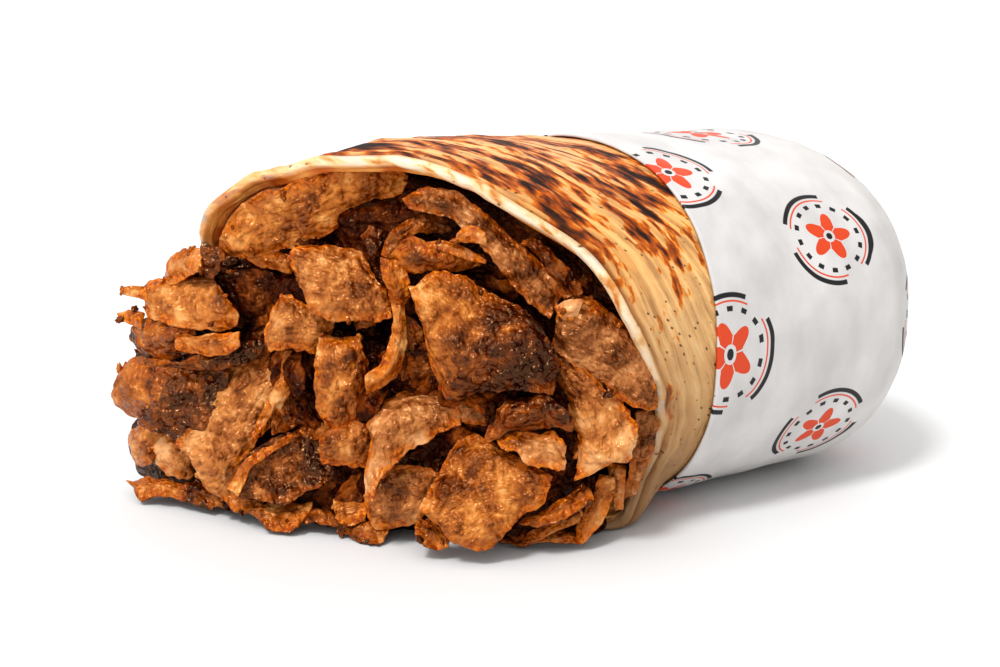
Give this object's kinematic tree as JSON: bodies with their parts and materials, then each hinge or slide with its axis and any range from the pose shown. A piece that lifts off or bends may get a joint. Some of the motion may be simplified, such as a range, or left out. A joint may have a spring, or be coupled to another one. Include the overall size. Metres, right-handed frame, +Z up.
{
  "type": "kebab wrap",
  "caption": "Rolled grilled flatbread packed with shaved meat that spills from its slanted open end, its closed half held in a printed paper sleeve.",
  "frame": {"origin": "under the middle of the wrap's outer box, on the table that it lies on", "axes": "+X along the roll from its open mouth to the sleeve's closed tail, +Z up, -Y the near side where the mouth is cut furthest back"},
  "size_m": [0.1614, 0.107, 0.0796],
  "materials": {
    "flatbread": "soft, browned and charred in streaks",
    "paper": "thin greaseproof, printed in black and orange-red",
    "meat": "moist, browned, with charred edges"
  },
  "bodies": {
    "root": {"flatbread": "flatbread", "paper_sleeve": "paper", "kebab_meat": "meat"}
  },
  "joints": []
}
